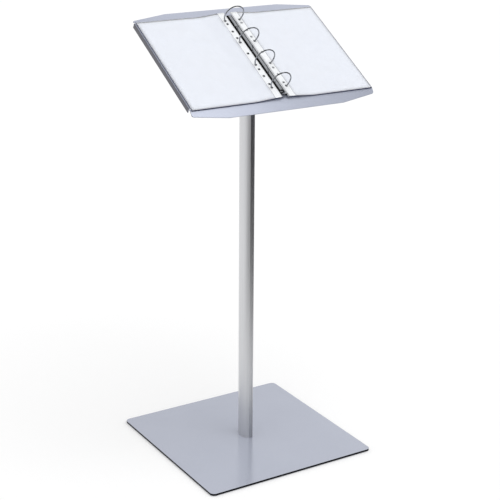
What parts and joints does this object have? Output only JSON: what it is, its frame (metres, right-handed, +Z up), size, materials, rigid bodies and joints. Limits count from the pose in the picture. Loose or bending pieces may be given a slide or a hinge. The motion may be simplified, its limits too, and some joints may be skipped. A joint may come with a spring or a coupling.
{
  "type": "lectern stand",
  "caption": "Free-standing lectern with a square base plate, a slim column and a tilted tray that carries a ring binder with turning clear sleeves.",
  "frame": {"origin": "on the floor under the centre of the square base plate", "axes": "+Z up along the column, +X to the reader's right, and the reader stands on the -Y side"},
  "size_m": [0.486, 0.46, 1.0969],
  "materials": {
    "powder_coat": "smooth silver-grey powder coat with a fine satin grain",
    "column_aluminium": "satin anodised extrusion",
    "rubber_pad": "matte black",
    "dark_steel": "blackened",
    "zinc_steel": "bright zinc plate",
    "binder_chrome": "polished nickel and chrome plate",
    "clear_film": "clear glossy film with welded edges",
    "white_paper": "blank white paper"
  },
  "bodies": {
    "stand": {"base_plate": "powder_coat", "foot_pad_1": "rubber_pad", "foot_pad_2": "rubber_pad", "foot_pad_3": "rubber_pad", "foot_pad_4": "rubber_pad", "column": "column_aluminium", "base_screw_front": "dark_steel", "base_screw_rear": "dark_steel", "head_bracket": "powder_coat", "head_screw_front": "dark_steel", "head_screw_rear": "dark_steel", "tray": "powder_coat", "tray_screw_1": "zinc_steel", "tray_screw_2": "zinc_steel", "tray_screw_3": "zinc_steel", "tray_screw_4": "zinc_steel", "tray_nut_1": "zinc_steel", "tray_nut_2": "zinc_steel", "tray_nut_3": "zinc_steel", "tray_nut_4": "zinc_steel", "binder_cover": "binder_chrome", "binder_rivet_upper": "binder_chrome", "binder_rivet_lower": "binder_chrome", "trigger_pin": "binder_chrome"},
    "rings_left": {"hinge_plate_left": "binder_chrome", "ring_left_1": "binder_chrome", "ring_left_2": "binder_chrome", "ring_left_3": "binder_chrome", "ring_left_4": "binder_chrome"},
    "rings_right": {"hinge_plate_right": "binder_chrome", "ring_right_1": "binder_chrome", "ring_right_2": "binder_chrome", "ring_right_3": "binder_chrome", "ring_right_4": "binder_chrome"},
    "lever": {"trigger_lever": "binder_chrome"},
    "stack_left": {"sleeve_left_1": "clear_film", "sleeve_left_2": "clear_film", "sleeve_left_3": "clear_film", "paper_left_1": "white_paper", "paper_left_2": "white_paper", "paper_left_3": "white_paper"},
    "stack_right": {"sleeve_right_1": "clear_film", "sleeve_right_2": "clear_film", "sleeve_right_3": "clear_film", "paper_right_1": "white_paper", "paper_right_2": "white_paper", "paper_right_3": "white_paper"},
    "page_left": {"sleeve_left_4": "clear_film", "paper_left_4": "white_paper"},
    "page_right": {"sleeve_right_4": "clear_film", "paper_right_4": "white_paper"}
  },
  "joints": [
    {"name": "ring_open_left", "type": "hinge", "parent": "stand", "child": "rings_left", "pos_m": [-0.01, -0.03075, 0.9943], "axis": [0, -0.866, -0.5], "range_deg": [0, 6], "stiffness_Nm_per_rad": 1.2, "springref_deg": -14.32},
    {"name": "ring_open_right", "type": "hinge", "parent": "stand", "child": "rings_right", "pos_m": [0.01, -0.03075, 0.9943], "axis": [0, 0.866, 0.5], "range_deg": [0, 6]},
    {"name": "lever_press", "type": "hinge", "parent": "stand", "child": "lever", "pos_m": [0, -0.15044, 0.92762], "axis": [1, 0, 0], "range_deg": [0, 18]},
    {"name": "stack_left_level", "type": "hinge", "parent": "rings_left", "child": "stack_left", "pos_m": [0, -0.042, 1.01378], "axis": [0, -0.866, -0.5], "range_deg": [-6, 0]},
    {"name": "stack_right_level", "type": "hinge", "parent": "rings_right", "child": "stack_right", "pos_m": [0, -0.042, 1.01378], "axis": [0, 0.866, 0.5], "range_deg": [-6, 0]},
    {"name": "page_turn_left", "type": "hinge", "parent": "stack_left", "child": "page_left", "pos_m": [0, -0.042, 1.01378], "axis": [0, 0.866, 0.5], "range_deg": [0, 85]},
    {"name": "page_turn_right", "type": "hinge", "parent": "stack_right", "child": "page_right", "pos_m": [0, -0.042, 1.01378], "axis": [0, -0.866, -0.5], "range_deg": [0, 85]}
  ],
  "couplings": [
    {"joint": "ring_open_right", "follows": "ring_open_left", "ratio": 1},
    {"joint": "lever_press", "follows": "ring_open_left", "ratio": 3},
    {"joint": "stack_left_level", "follows": "ring_open_left", "ratio": -1},
    {"joint": "stack_right_level", "follows": "ring_open_left", "ratio": -1}
  ]
}
